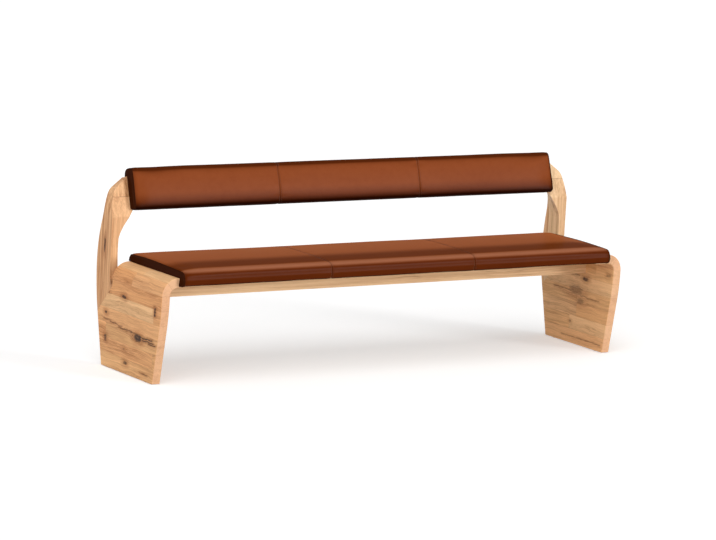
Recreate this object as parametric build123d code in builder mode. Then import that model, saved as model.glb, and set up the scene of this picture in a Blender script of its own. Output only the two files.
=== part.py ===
from build123d import *
import os
from math import atan2, cos, degrees, hypot, radians, sin, tan

os.makedirs("parts", exist_ok=True)

# Upholstered dining bench in solid oak: two bent slab legs that carry curved arms,
# a leather seat over a hidden frame, and a leaning leather back between the arm tips.
# X runs along the bench, Y from the front to the rear, Z up. The origin lies on the
# floor, midway between the ends and midway between the seat's lip and the legs' rear.

# Driving sizes of the whole bench
bench_length = 2400
bench_depth = 608
seat_pad_height = 39
seat_end_setback = 81
back_end_setback = 92

# Felt glides
glide_height = 2.5
glide_diameter = 34
glide_end_margin = 60

# Legs: a vertical slab of level staves, a bent corner and a level wing under the seat
leg_thickness = 41
leg_height = 465
corner_radius = 75
wing_length = 140
wing_rear_setback = 144.5
stave_count = 6
leg_front_setback = 36
leg_front_lean = 9.5
leg_front_bend_rise = 144
leg_rear_lean = 12.9
leg_rear_bend_rise = 217
leg_rear_bend_drop = 16
notch_drop = 30
leg_edge_radius = 4

# Arms: glued to the leg along a slanting joint, swept inwards towards the back
arm_thickness = 34
arm_gap = 25.5
arm_gap_bend_rise = 50
arm_crease_drop = 25
arm_waist_drop = 48
arm_waist_depth = 88.5
arm_tip_depth = 25.5
arm_tip_bend_rise = 21
arm_knee_rise = 16
arm_shoulder_rise = 87
arm_shoulder_inset = 20
arm_peak_rise = 151
arm_peak_inset = 102
arm_tip_inset = 160
arm_sweep_rise = 25

# Rails, battens and brackets under the seat
rail_thickness = 40
rail_height = 100
rear_rail_margin = 34.5
rail_spacing = 142
batten_thickness = 22
batten_width = 60
batten_end_margin = 14
bracket_leg = 45
bracket_width = 34
bracket_thickness = 4
bracket_drop = 24

# Seat upholstery
seat_rear_overhang = 20.5
seat_board_thickness = 12
seat_board_margin = 18
lip_drop = 37
nose_thickness = 22
nose_rise = 6
seat_crown = 5
seat_front_radius = 30
seat_rear_radius = 19
lip_radius = 20

# Back upholstery, measured square to its lean and up along it
back_lean = 17
back_gap = 175
back_thickness = 38
back_height = 190
back_roll_height = 40
back_roll_overhang = 30
back_crown = 3
back_front_radius = 24
back_roll_radius = 18
back_bottom_radius = 14
back_board_thickness = 12
back_board_margin = 13
rear_panel_thickness = 5
rear_panel_margin = 4
core_width = 34
core_height = 22

# Upholstery common to both cushions
seam_pinch = 3
seam_half_width = 14
end_draw_in = 7
end_rounding = 24

# Fasteners
dowel_diameter = 10
dowel_length = 40
corner_dowel_count = 3
corner_dowel_spacing = 140
screw_diameter = 5
screw_head_diameter = 10
screw_head_height = 3
bracket_screw_length = 20
batten_screw_length = 30
arm_bolt_diameter = 6
arm_bolt_head_diameter = 14
arm_bolt_head_height = 4
arm_bolt_grip = 14
arm_bolt_bite = 8
arm_bolt_inset = 123
overrun = 5

# The arm's inward sweep, as shares of its height and of its reach: where the front and
# the rear of the inner face start and stop moving in, and how far they go
arm_front_sweep_shares = (0.17, 0.87, 1.15)
arm_rear_sweep_shares = (0.5, 0.8, 0.9)
arm_sweep_steps = 14

# How much of the slanting edge from an arm's knee to its shoulder each of the two bends takes
arm_bend_shares = (0.655, 0.267)

# How much of the end's draw-in and rounding is left at each station near an end
end_shares = ((1, 0), (0.35, 0.25), (0, 1))

# Where things lie along what carries them, as shares of its length
arm_bolt_rise_shares = (0.3, 0.75)
arm_dowel_shares = (0.36, 0.9)
bracket_screw_shares = (0.4, 0.8)
batten_place_shares = (-0.7, -0.7 / 3, 0.7 / 3, 0.7)
seat_screw_shares = (0.12, 0.72)
seam_place_shares = (-1 / 3, 1 / 3)

# Places that follow from the sizes above
half_length = bench_length / 2
front_edge = -bench_depth / 2
rear_edge = bench_depth / 2
leg_front = front_edge + leg_front_setback
leg_inner = half_length - leg_thickness
wing_rear = rear_edge - wing_rear_setback
wing_depth = wing_rear - leg_front
wing_underside = leg_height - leg_thickness
wing_end = half_length - wing_length
corner_height = leg_height - corner_radius
corner_centre = half_length - corner_radius
stave_height = (corner_height - glide_height) / stave_count
notch_height = corner_height - notch_drop
leg_rear_bend_top = leg_height - leg_rear_bend_drop
arm_front = wing_rear + arm_gap
arm_inner = half_length - arm_thickness
arm_tip_end = half_length - arm_tip_inset
arm_sweep = arm_inner - arm_tip_end
seat_half_length = half_length - seat_end_setback
seat_rear = wing_rear + seat_rear_overhang
seat_top = leg_height + seat_pad_height
board_top = leg_height + seat_board_thickness
back_half_length = half_length - back_end_setback
leg_middle = half_length - leg_thickness / 2
wing_middle_height = leg_height - leg_thickness / 2

# Side outline of the leg: where its straight edges meet their bends
rear_bend_radius = leg_rear_bend_rise / sin(radians(leg_rear_lean))
joint_low_height = leg_rear_bend_top - leg_rear_bend_rise
joint_low_depth = rear_edge - rear_bend_radius * (1 - cos(radians(leg_rear_lean)))
foot_rear = joint_low_depth - (joint_low_height - glide_height) * tan(radians(leg_rear_lean))
front_bend_height = corner_height - leg_front_bend_rise
front_bend_depth = leg_front + leg_front_bend_rise * tan(radians(leg_front_lean) / 2)
foot_front = front_bend_depth + (front_bend_height - glide_height) * tan(radians(leg_front_lean))

# Heights of the arm's bends, which follow the back's lower edge
back_bottom_height = seat_top + back_gap
arm_crease_height = back_bottom_height - arm_crease_drop
arm_waist_height = back_bottom_height - arm_waist_drop
arm_tip_bend_height = back_bottom_height + arm_tip_bend_rise
arm_knee_height = back_bottom_height + arm_knee_rise
arm_shoulder_height = back_bottom_height + arm_shoulder_rise
arm_peak_height = back_bottom_height + arm_peak_rise
arm_sweep_start = leg_height + arm_sweep_rise
knee_to_shoulder = hypot(arm_shoulder_inset, arm_shoulder_height - arm_knee_height)
knee_turn = atan2(arm_shoulder_inset, arm_shoulder_height - arm_knee_height)
peak_turn = atan2(arm_peak_inset - arm_shoulder_inset, arm_peak_height - arm_shoulder_height)
arm_knee_radius = arm_bend_shares[0] * knee_to_shoulder / tan(knee_turn / 2)
arm_shoulder_radius = arm_bend_shares[1] * knee_to_shoulder / tan((peak_turn - knee_turn) / 2)

# The back leans: its own frame starts at the lower edge of the cushion's rear plane
back_sine = sin(radians(back_lean))
back_cosine = cos(radians(back_lean))
back_slope = back_sine / back_cosine
back_depth = arm_front + back_slope * (back_bottom_height - arm_crease_height)
arm_tip_rise = back_height - back_roll_height
arm_tip_front = back_depth + back_sine * arm_tip_rise
arm_tip_front_height = back_bottom_height + back_cosine * arm_tip_rise
arm_tip_rear = arm_tip_front + arm_tip_depth
arm_tip_rear_height = arm_tip_front_height - back_slope * (arm_tip_rear - arm_tip_front)

# The rails stand between the legs, with the battens and the seat board on top
rail_top = leg_height - batten_thickness
rail_bottom = rail_top - rail_height
rear_rail_front = wing_rear - rear_rail_margin - rail_thickness
front_rail_front = rear_rail_front - rail_spacing
board_front = leg_front
board_rear = seat_rear - seat_board_margin
board_half_length = seat_half_length - seat_board_margin
lip_bottom = leg_height - lip_drop
batten_front = board_front + batten_end_margin
batten_rear = board_rear - batten_end_margin
batten_depth = batten_rear - batten_front
bracket_middle = rail_bottom + bracket_drop
back_board_half_length = back_half_length - back_board_margin

# Places of the fasteners: each looks along its own z axis, out of the head
rail_faces = (
    (front_rail_front + rail_thickness, 1),
    (rear_rail_front, -1),
)
bracket_screw_places = []
for sign in (-1, 1):
    for face, outward in rail_faces:
        for share in bracket_screw_shares:
            reach = share * bracket_leg
            bracket_screw_places.append(
                Location(
                    (sign * (leg_inner - reach), face + outward * bracket_thickness, bracket_middle),
                    (-outward * 90, 0, 0),
                )
            )
            bracket_screw_places.append(
                Location(
                    (sign * (leg_inner - bracket_thickness), face + outward * reach, bracket_middle),
                    (0, -sign * 90, 0),
                )
            )
rail_middles = (front_rail_front + rail_thickness / 2, rear_rail_front + rail_thickness / 2)
batten_screw_places = []
seat_screw_places = []
for place_share in batten_place_shares:
    for depth in rail_middles:
        batten_screw_places.append(
            Location((place_share * half_length, depth, leg_height - screw_head_height))
        )
    for share in seat_screw_shares:
        depth = batten_front + share * batten_depth
        seat_screw_places.append(
            Location((place_share * half_length, depth, rail_top), (180, 0, 0))
        )
arm_bolt_places = []
for sign in (-1, 1):
    for share in arm_bolt_rise_shares:
        rise = share * arm_tip_rise
        depth = back_depth + back_sine * rise + back_cosine * arm_bolt_grip
        height = back_bottom_height + back_cosine * rise - back_sine * arm_bolt_grip
        arm_bolt_places.append(
            Location((sign * (half_length - arm_bolt_inset), depth, height), (-90 - back_lean, 0, 0))
        )
joint_slope = (joint_low_depth - wing_rear) / (notch_height - joint_low_height)
joint_tilt = degrees(atan2(1, joint_slope))
arm_dowel_places = []
corner_dowel_places = []
for sign in (-1, 1):
    for share in arm_dowel_shares:
        height = corner_height - (2 - share) * stave_height
        depth = wing_rear + joint_slope * (notch_height - height)
        arm_dowel_places.append(Location((sign * leg_middle, depth, height), (-joint_tilt, 0, 0)))
    for number in range(corner_dowel_count):
        depth = (leg_front + wing_rear) / 2 + (number - (corner_dowel_count - 1) / 2) * corner_dowel_spacing
        corner_dowel_places.append(Location((sign * leg_middle, depth, corner_height)))
        corner_dowel_places.append(
            Location((sign * corner_centre, depth, wing_middle_height), (0, 90, 0))
        )


def keep(piece, name):
    """Label a finished piece and write it to its own file."""
    piece.part.label = name
    export_step(piece.part, f"parts/{name}.step")


def drill(places, diameter, length):
    """Cut a round hole for a fastener's shank at each place."""
    with Locations(*places):
        Cylinder(
            diameter / 2, length, align=(Align.CENTER, Align.CENTER, Align.MAX), mode=Mode.SUBTRACT
        )


def bore_heads(places, diameter, length):
    """Cut room for a fastener's head, out along its axis, at each place."""
    with Locations(*places):
        Cylinder(
            diameter / 2, length, align=(Align.CENTER, Align.CENTER, Align.MIN), mode=Mode.SUBTRACT
        )


def drill_dowels(places):
    """Cut a dowel's hole, half on each side of the joint, at each place."""
    with Locations(*places):
        Cylinder(dowel_diameter / 2, dowel_length, mode=Mode.SUBTRACT)


def make_screws(places, diameter, length, head_diameter, head_height):
    """Headed screws or bolts, one at each place, as separate solids of one piece."""
    with BuildPart() as screws:
        with Locations(*places):
            Cylinder(diameter / 2, length, align=(Align.CENTER, Align.CENTER, Align.MAX))
            Cylinder(head_diameter / 2, head_height, align=(Align.CENTER, Align.CENTER, Align.MIN))
    return screws


def back_plane(place):
    """A plane across the back: its x is the depth square to the lean, its y the rise."""
    origin = (place, back_depth, back_bottom_height)
    return Plane(origin=origin, x_dir=(0, back_cosine, -back_sine), z_dir=(1, 0, 0))


def leg_outline():
    """Side outline of a leg's slab, from the floor up to where the corner starts."""
    with BuildLine() as outline:
        Line((foot_front, glide_height), (front_bend_depth, front_bend_height))
        TangentArc(
            (front_bend_depth, front_bend_height),
            (leg_front, corner_height),
            tangent=(-sin(radians(leg_front_lean)), cos(radians(leg_front_lean))),
        )
        Polyline(
            (leg_front, corner_height),
            (wing_rear, corner_height),
            (wing_rear, notch_height),
            (joint_low_depth, joint_low_height),
            (foot_rear, glide_height),
            (foot_front, glide_height),
        )
    return outline.line


def arm_outline():
    """Side outline of an arm, from the slanting joint up to the tip under the roll."""
    with BuildLine() as outline:
        Line((wing_rear, notch_height), (joint_low_depth, joint_low_height))
        lower = TangentArc(
            (joint_low_depth, joint_low_height),
            (rear_edge, leg_rear_bend_top),
            tangent=(sin(radians(leg_rear_lean)), cos(radians(leg_rear_lean))),
        )
        waist = TangentArc(
            lower @ 1, (arm_front + arm_waist_depth, arm_waist_height), tangent=(0, 1)
        )
        upper = TangentArc(
            waist @ 1, (arm_tip_rear, arm_tip_bend_height), tangent=waist % 1
        )
        Polyline(
            upper @ 1,
            (arm_tip_rear, arm_tip_rear_height),
            (arm_tip_front, arm_tip_front_height),
            (arm_front, arm_crease_height),
            (arm_front, notch_height + arm_gap_bend_rise),
        )
        TangentArc(
            (arm_front, notch_height + arm_gap_bend_rise), (wing_rear, notch_height), tangent=(0, -1)
        )
    return outline.line


def arm_front_outline(sign):
    """Front outline of an arm's outer side: upright, then bent over towards the back."""
    with BuildSketch(Plane.XZ.offset(-rear_edge - overrun)) as sketch:
        with BuildLine():
            bent = FilletPolyline(
                (sign * half_length, joint_low_height - overrun),
                (sign * half_length, arm_knee_height),
                (sign * (half_length - arm_shoulder_inset), arm_shoulder_height),
                (sign * (half_length - arm_peak_inset), arm_peak_height),
                radius=(arm_knee_radius, arm_shoulder_radius),
            )
            Polyline(
                bent @ 1,
                (sign * arm_tip_end, arm_peak_height),
                (sign * arm_tip_end, joint_low_height - overrun),
                bent @ 0,
            )
        make_face()
    return sketch.sketch


def swept_in(share, sweep_shares):
    """Share of the sweep reached at a share of the height, eased at both ends."""
    start_share, end_share, reach_share = sweep_shares
    eased = min(max((share - start_share) / (end_share - start_share), 0), 1)
    return reach_share * eased * eased * (3 - 2 * eased)


# The legs, the arms and what joins them, left and then right
for side, sign in (("left", -1), ("right", 1)):
    slab_plane = Plane.YZ.offset(min(sign * half_length, sign * leg_inner))

    # Level staves, glued edge to edge, each cut to the leg's outline
    for number in range(stave_count):
        middle = glide_height + (number + 0.5) * stave_height
        with BuildPart() as stave:
            with BuildSketch(slab_plane):
                with BuildLine():
                    add(leg_outline())
                make_face()
                with Locations((0, middle)):
                    Rectangle(bench_depth, stave_height, mode=Mode.INTERSECT)
            extrude(amount=leg_thickness)
            upright_edges = stave.edges().filter_by(Axis.X, reverse=True).filter_by(Axis.Y, reverse=True)
            fillet(upright_edges.group_by(Axis.Y)[0], leg_edge_radius)
            drill_dowels(arm_dowel_places)
            drill_dowels(corner_dowel_places)
            drill(bracket_screw_places, screw_diameter, bracket_screw_length)
        keep(stave, f"{side}_leg_stave_{number + 1}")

    # Corner block, a quarter ring from the slab to the wing
    with BuildPart() as corner:
        with BuildSketch(Plane.XZ.offset(-wing_rear)):
            with Locations((sign * corner_centre, corner_height)):
                Circle(corner_radius)
                Circle(corner_radius - leg_thickness, mode=Mode.SUBTRACT)
                quarter_place = (sign * corner_radius / 2, corner_radius / 2)
                with Locations(quarter_place):
                    Rectangle(corner_radius, corner_radius, mode=Mode.INTERSECT)
        extrude(amount=wing_depth)
        fillet(corner.edges().filter_by(GeomType.CIRCLE).group_by(Axis.Y)[0], leg_edge_radius)
        drill_dowels(corner_dowel_places)
    keep(corner, f"{side}_leg_corner")

    # Wing, the level board that reaches in under the seat
    with BuildPart() as wing:
        wing_middle = sign * (wing_end + corner_centre) / 2
        wing_plane = Plane.XY.offset(wing_underside)
        with BuildSketch(wing_plane):
            with Locations((wing_middle, (leg_front + wing_rear) / 2)):
                Rectangle(corner_centre - wing_end, wing_depth)
        extrude(amount=leg_thickness)
        fillet(wing.edges().filter_by(Axis.X).group_by(Axis.Y)[0], leg_edge_radius)
        drill_dowels(corner_dowel_places)
    keep(wing, f"{side}_leg_wing")

    # Arm: a block flush with the leg along their joint, whose inner face draws back to the
    # arm's own thickness and then sweeps in, cut to its side and front outlines
    with BuildPart() as arm:
        arm_sections = [(joint_low_height - overrun, leg_inner, leg_inner)]
        arm_sections.append((notch_height, leg_inner, leg_inner))
        for step in range(arm_sweep_steps + 1):
            share = step / arm_sweep_steps
            height = arm_sweep_start + share * (arm_peak_height - arm_sweep_start)
            near = arm_inner - arm_sweep * swept_in(share, arm_front_sweep_shares)
            far = arm_inner - arm_sweep * swept_in(share, arm_rear_sweep_shares)
            arm_sections.append((height, near, far))
        for height, near, far in arm_sections:
            with BuildSketch(Plane.XY.offset(height)):
                with BuildLine():
                    Polyline(
                        (sign * (half_length + overrun), wing_rear),
                        (sign * (half_length + overrun), rear_edge + overrun),
                        (sign * far, rear_edge + overrun),
                        (sign * near, wing_rear),
                        (sign * (half_length + overrun), wing_rear),
                    )
                make_face()
        loft(ruled=True)
        with BuildSketch(Plane.YZ.offset(min(sign * half_length, sign * arm_tip_end))):
            with BuildLine():
                add(arm_outline())
            make_face()
        extrude(amount=half_length - arm_tip_end, mode=Mode.INTERSECT)
        extrude(arm_front_outline(sign), amount=bench_depth, mode=Mode.INTERSECT)
        drill_dowels(arm_dowel_places)
        drill(arm_bolt_places, arm_bolt_diameter, arm_bolt_grip + overrun)
        bore_heads(arm_bolt_places, arm_bolt_head_diameter, bench_depth)
    keep(arm, f"{side}_arm")

    # Felt glides, one near each end of the foot
    with BuildPart() as glides:
        with BuildSketch():
            with Locations(
                (sign * leg_middle, foot_front + glide_end_margin),
                (sign * leg_middle, foot_rear - glide_end_margin),
            ):
                Circle(glide_diameter / 2)
        extrude(amount=glide_height)
    keep(glides, f"{side}_felt_glides")

    # Angle brackets that tie the two rails to the leg
    for rail, (face, outward) in zip(("front", "rear"), rail_faces):
        with BuildPart() as bracket:
            with BuildSketch(Plane.XY.offset(bracket_middle - bracket_width / 2)):
                with BuildLine():
                    Polyline(
                        (sign * leg_inner, face),
                        (sign * (leg_inner - bracket_leg), face),
                        (sign * (leg_inner - bracket_leg), face + outward * bracket_thickness),
                        (sign * (leg_inner - bracket_thickness), face + outward * bracket_thickness),
                        (sign * (leg_inner - bracket_thickness), face + outward * bracket_leg),
                        (sign * leg_inner, face + outward * bracket_leg),
                        (sign * leg_inner, face),
                    )
                make_face()
            extrude(amount=bracket_width)
            drill(bracket_screw_places, screw_diameter, bracket_screw_length)
        keep(bracket, f"{side}_{rail}_bracket")

    # Dowels inside the joints, each half in one board and half in the other
    side_arm_dowels = [place for place in arm_dowel_places if place.position.X * sign > 0]
    side_corner_dowels = [place for place in corner_dowel_places if place.position.X * sign > 0]
    for joint, places in (("arm", side_arm_dowels), ("corner", side_corner_dowels)):
        with BuildPart() as dowels:
            with Locations(*places):
                Cylinder(dowel_diameter / 2, dowel_length)
        keep(dowels, f"{side}_{joint}_dowels")

# Rails between the legs, notched to pass under the corners and wings
for rail, face in (("front", front_rail_front), ("rear", rear_rail_front)):
    with BuildPart() as beam:
        with BuildSketch(Plane.XZ.offset(-face)):
            with BuildLine():
                for sign in (-1, 1):
                    Polyline(
                        (0, rail_bottom),
                        (sign * leg_inner, rail_bottom),
                        (sign * leg_inner, corner_height),
                    )
                    TangentArc(
                        (sign * leg_inner, corner_height),
                        (sign * corner_centre, wing_underside),
                        tangent=(0, 1),
                    )
                    Polyline(
                        (sign * corner_centre, wing_underside),
                        (sign * wing_end, wing_underside),
                        (sign * wing_end, rail_top),
                        (0, rail_top),
                    )
            make_face()
        extrude(amount=-rail_thickness)
        drill(bracket_screw_places, screw_diameter, bracket_screw_length)
        drill(batten_screw_places, screw_diameter, batten_screw_length)
    keep(beam, f"{rail}_rail")

# Battens across the rails, which carry the seat board
for number, share in enumerate(batten_place_shares):
    with BuildPart() as batten:
        with BuildSketch(Plane.XY.offset(rail_top)):
            with Locations((share * half_length, (batten_front + batten_rear) / 2)):
                Rectangle(batten_width, batten_depth)
        extrude(amount=batten_thickness)
        drill(batten_screw_places, screw_diameter, batten_screw_length)
        bore_heads(batten_screw_places, screw_head_diameter, screw_head_height)
        drill(seat_screw_places, screw_diameter, batten_screw_length)
    keep(batten, f"cross_batten_{number + 1}")

# Seat board and the nose batten under its front edge
with BuildPart() as seat_board:
    with BuildSketch(Plane.XY.offset(leg_height)):
        with Locations((0, (board_front + board_rear) / 2)):
            Rectangle(2 * board_half_length, board_rear - board_front)
    extrude(amount=seat_board_thickness)
    drill(seat_screw_places, screw_diameter, batten_screw_length)
keep(seat_board, "seat_board")

with BuildPart() as nose:
    with BuildSketch(Plane.XY.offset(lip_bottom + nose_rise)):
        with Locations((0, board_front - nose_thickness / 2)):
            Rectangle(2 * board_half_length, nose_thickness)
    extrude(amount=board_top - lip_bottom - nose_rise)
keep(nose, "seat_nose_batten")


def cushion_stations(half_size):
    """Places along a cushion, each with how far its section is drawn in there."""
    stations = []
    for draw_share, distance_share in end_shares:
        stations.append((half_size - distance_share * end_rounding, draw_share * end_draw_in))
    both_ends = [(-place, draw) for place, draw in stations] + stations
    for share in seam_place_shares:
        seam = share * half_size
        both_ends += [(seam - seam_half_width, 0), (seam, seam_pinch), (seam + seam_half_width, 0)]
    return sorted(both_ends)


def seat_section(place, draw):
    """Upright section of the seat cushion: crown, rounded edges and the hanging lip."""
    front = front_edge + draw
    rear = seat_rear - draw
    top = seat_top - seat_crown - draw
    with BuildSketch(Plane.YZ.offset(place)) as section:
        with BuildLine():
            TangentArc(
                (front + lip_radius, lip_bottom), (front, lip_bottom + lip_radius), tangent=(-1, 0)
            )
            Line((front, lip_bottom + lip_radius), (front, top - seat_front_radius))
            TangentArc(
                (front, top - seat_front_radius), (front + seat_front_radius, top), tangent=(0, 1)
            )
            ThreePointArc(
                (front + seat_front_radius, top),
                ((front + seat_front_radius + rear - seat_rear_radius) / 2, top + seat_crown),
                (rear - seat_rear_radius, top),
            )
            TangentArc((rear - seat_rear_radius, top), (rear, top - seat_rear_radius), tangent=(1, 0))
            Polyline(
                (rear, top - seat_rear_radius),
                (rear, leg_height),
                (leg_front, leg_height),
                (leg_front, lip_bottom),
                (front + lip_radius, lip_bottom),
            )
        make_face()
    return section


def back_section(place, draw):
    """Section of the back cushion, square to its lean: front pad and rearward roll."""
    front = draw - back_thickness
    roll_rear = back_roll_overhang - draw
    top = back_height - draw
    bottom = draw
    with BuildSketch(back_plane(place)) as section:
        with BuildLine():
            TangentArc(
                (front + back_bottom_radius, bottom), (front, bottom + back_bottom_radius), tangent=(-1, 0)
            )
            ThreePointArc(
                (front, bottom + back_bottom_radius),
                (front - back_crown, (bottom + back_bottom_radius + top - back_front_radius) / 2),
                (front, top - back_front_radius),
            )
            TangentArc(
                (front, top - back_front_radius), (front + back_front_radius, top), tangent=(0, 1)
            )
            Line((front + back_front_radius, top), (roll_rear - back_roll_radius, top))
            TangentArc(
                (roll_rear - back_roll_radius, top), (roll_rear, top - back_roll_radius), tangent=(1, 0)
            )
            Polyline(
                (roll_rear, top - back_roll_radius),
                (roll_rear, arm_tip_rise),
                (0, arm_tip_rise),
                (0, bottom),
                (front + back_bottom_radius, bottom),
            )
        make_face()
    return section


# Seat cushion, hollowed underneath for the board and the nose batten
with BuildPart() as seat_cushion:
    loft([seat_section(place, draw).sketch for place, draw in cushion_stations(seat_half_length)], ruled=True)
    with BuildSketch(Plane.YZ.offset(-board_half_length)):
        with BuildLine():
            Polyline(
                (board_rear, leg_height - overrun),
                (board_rear, board_top),
                (board_front - nose_thickness, board_top),
                (board_front - nose_thickness, lip_bottom + nose_rise),
                (board_front + overrun, lip_bottom + nose_rise),
                (board_front + overrun, leg_height - overrun),
                (board_rear, leg_height - overrun),
            )
        make_face()
    extrude(amount=2 * board_half_length, mode=Mode.SUBTRACT)
keep(seat_cushion, "seat_cushion")

# Back board, the core of the roll above it, and the cover between the arms
with BuildPart() as back_board:
    with BuildSketch(back_plane(-back_board_half_length)):
        with Locations((-back_board_thickness / 2, (back_board_margin + arm_tip_rise) / 2)):
            Rectangle(back_board_thickness, arm_tip_rise - back_board_margin)
    extrude(amount=2 * back_board_half_length)
    drill(arm_bolt_places, arm_bolt_diameter, arm_bolt_grip + arm_bolt_bite)
keep(back_board, "back_board")

with BuildPart() as roll_core:
    with BuildSketch(back_plane(-back_board_half_length)):
        with Locations((core_width / 2 - back_board_thickness, arm_tip_rise + core_height / 2)):
            Rectangle(core_width, core_height)
    extrude(amount=2 * back_board_half_length)
keep(roll_core, "back_roll_core")

panel_half_length = arm_tip_end - rear_panel_margin
with BuildPart() as rear_panel:
    with BuildSketch(back_plane(-panel_half_length)):
        with Locations((rear_panel_thickness / 2, arm_tip_rise / 2)):
            Rectangle(rear_panel_thickness, arm_tip_rise - 2 * rear_panel_margin)
    extrude(amount=2 * panel_half_length)
keep(rear_panel, "back_rear_cover")

# Back cushion, hollowed behind for the board and the roll's core
with BuildPart() as back_cushion:
    loft([back_section(place, draw).sketch for place, draw in cushion_stations(back_half_length)], ruled=True)
    with BuildSketch(back_plane(-back_board_half_length)):
        with BuildLine():
            Polyline(
                (-back_board_thickness, back_board_margin),
                (overrun, back_board_margin),
                (overrun, arm_tip_rise - overrun),
                (core_width - back_board_thickness, arm_tip_rise - overrun),
                (core_width - back_board_thickness, arm_tip_rise + core_height),
                (-back_board_thickness, arm_tip_rise + core_height),
                (-back_board_thickness, back_board_margin),
            )
        make_face()
    extrude(amount=2 * back_board_half_length, mode=Mode.SUBTRACT)
keep(back_cushion, "back_cushion")

# Screws and bolts
bracket_screws = make_screws(
    bracket_screw_places, screw_diameter, bracket_screw_length, screw_head_diameter, screw_head_height
)
keep(bracket_screws, "bracket_screws")
batten_screws = make_screws(
    batten_screw_places, screw_diameter, batten_screw_length, screw_head_diameter, screw_head_height
)
keep(batten_screws, "batten_screws")
seat_screws = make_screws(
    seat_screw_places, screw_diameter, batten_screw_length, screw_head_diameter, screw_head_height
)
keep(seat_screws, "seat_screws")
arm_bolts = make_screws(
    arm_bolt_places,
    arm_bolt_diameter,
    arm_bolt_grip + arm_bolt_bite,
    arm_bolt_head_diameter,
    arm_bolt_head_height,
)
keep(arm_bolts, "arm_bolts")
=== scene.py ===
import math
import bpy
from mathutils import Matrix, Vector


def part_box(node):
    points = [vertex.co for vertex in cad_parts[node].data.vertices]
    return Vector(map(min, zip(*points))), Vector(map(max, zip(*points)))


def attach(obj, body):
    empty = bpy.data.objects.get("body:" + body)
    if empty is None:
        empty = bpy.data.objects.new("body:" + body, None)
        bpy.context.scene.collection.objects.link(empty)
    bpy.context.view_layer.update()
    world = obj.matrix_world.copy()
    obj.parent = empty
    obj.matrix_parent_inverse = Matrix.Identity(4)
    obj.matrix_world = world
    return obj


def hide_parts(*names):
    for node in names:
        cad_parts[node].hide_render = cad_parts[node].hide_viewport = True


bl_info = {
    "name": "Upholstered Dining Bench",
    "version": (1, 0, 0),
    "blender": (4, 5, 0),
    "location": "View3D > Sidebar > Bench",
    "description": "Dresses a dining bench in knotty oak and sewn leather",
    "category": "Add Mesh",
}

import bmesh
import bpy
import numpy as np
from mathutils import Matrix, Vector, noise
from mathutils.bvhtree import BVHTree

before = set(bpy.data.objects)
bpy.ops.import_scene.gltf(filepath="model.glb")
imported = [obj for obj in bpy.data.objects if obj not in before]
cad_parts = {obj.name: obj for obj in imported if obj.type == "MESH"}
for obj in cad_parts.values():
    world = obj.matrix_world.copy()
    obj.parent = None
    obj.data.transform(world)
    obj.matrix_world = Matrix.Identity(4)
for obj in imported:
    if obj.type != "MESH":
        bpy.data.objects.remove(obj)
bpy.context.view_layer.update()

seat_low, seat_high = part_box("seat_cushion")
board_low, board_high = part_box("seat_board")
back_low, back_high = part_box("back_cushion")
corner_low, corner_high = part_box("right_leg_corner")
nose_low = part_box("seat_nose_batten")[0]
core_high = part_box("back_roll_core")[1]
slab_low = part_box("right_leg_stave_1")[0]

# Where the back's lower rear edge runs: its depth and its height above the floor
back_edge_depth = 0.19264
back_edge_height = 0.679

# The back's section, measured square to its lean and up along it
back_front_depth = -0.038
back_rear_depth = 0.03
back_rise = 0.19
back_open_rise = 0.15
back_hollow_rear = 0.022
back_hollow_front = -0.012
back_hollow_foot = 0.013
back_hollow_top = 0.172

# How far the end panels reach round onto a pad's other faces
end_panel_reach = 0.01

# Sewing: how deep a seam pulls in and how far from it that reaches; how high the puckers beside
# it stand, how far apart and how far out; and how far the leather undulates elsewhere
seam_pinch = 0.0018
seam_reach = 0.011
pucker_height = 0.00035
pucker_spacing = 0.031
pucker_reach = 0.03
undulation = 0.0005

# How far stitches and welts stand off the leather
stitch_lift = 0.00025
welt_lift = 0.0002

# Foam: how many steps it presses for, and how often the swell is evened out
pressing_steps = 20
evening_rounds = 24

# The pads' leather before sewing: from one ring of points to the next, and the rim of its ends
ring_step = 0.011
end_rim = 0.006

sides = (-1, 1)
stave_count = 6
batten_count = 4
stave_width = (corner_low.z - slab_low.z) / stave_count
arm_board_width = 0.058
rail_board_width = 0.13
batten_board_width = 0.56

# Boards without a butt joint are longer than the bench by far
unbroken = 60.0


def run_on(*runs):
    """Join runs of points end to end, without the points that they share."""
    points = []
    for run in runs:
        for point in run:
            if not points or math.dist(points[-1], point) > 1e-6:
                points.append((float(point[0]), float(point[1])))
    return points


def straight(start, end, count):
    """Points on a straight run between two corners."""
    return [
        tuple(near + (far - near) * step / count for near, far in zip(start, end))
        for step in range(count + 1)
    ]


def bend(centre, radius, first, last, count):
    """Points on a round bend, between two angles in degrees."""
    angles = [math.radians(first + (last - first) * step / count) for step in range(count + 1)]
    return [(centre[0] + radius * math.cos(a), centre[1] + radius * math.sin(a)) for a in angles]


def bowed(start, end, rise, count):
    """Points on a shallow bow; a positive rise bows out to the left of its direction."""
    across = (start[1] - end[1], end[0] - start[0])
    length = math.hypot(*across)
    bowed_points = []
    for step, point in enumerate(straight(start, end, count)):
        share = step / count
        lift = 4 * share * (1 - share) * rise / length
        bowed_points.append((point[0] + across[0] * lift, point[1] + across[1] * lift))
    return bowed_points


# Properties: what a user of the bench may want to change


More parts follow.
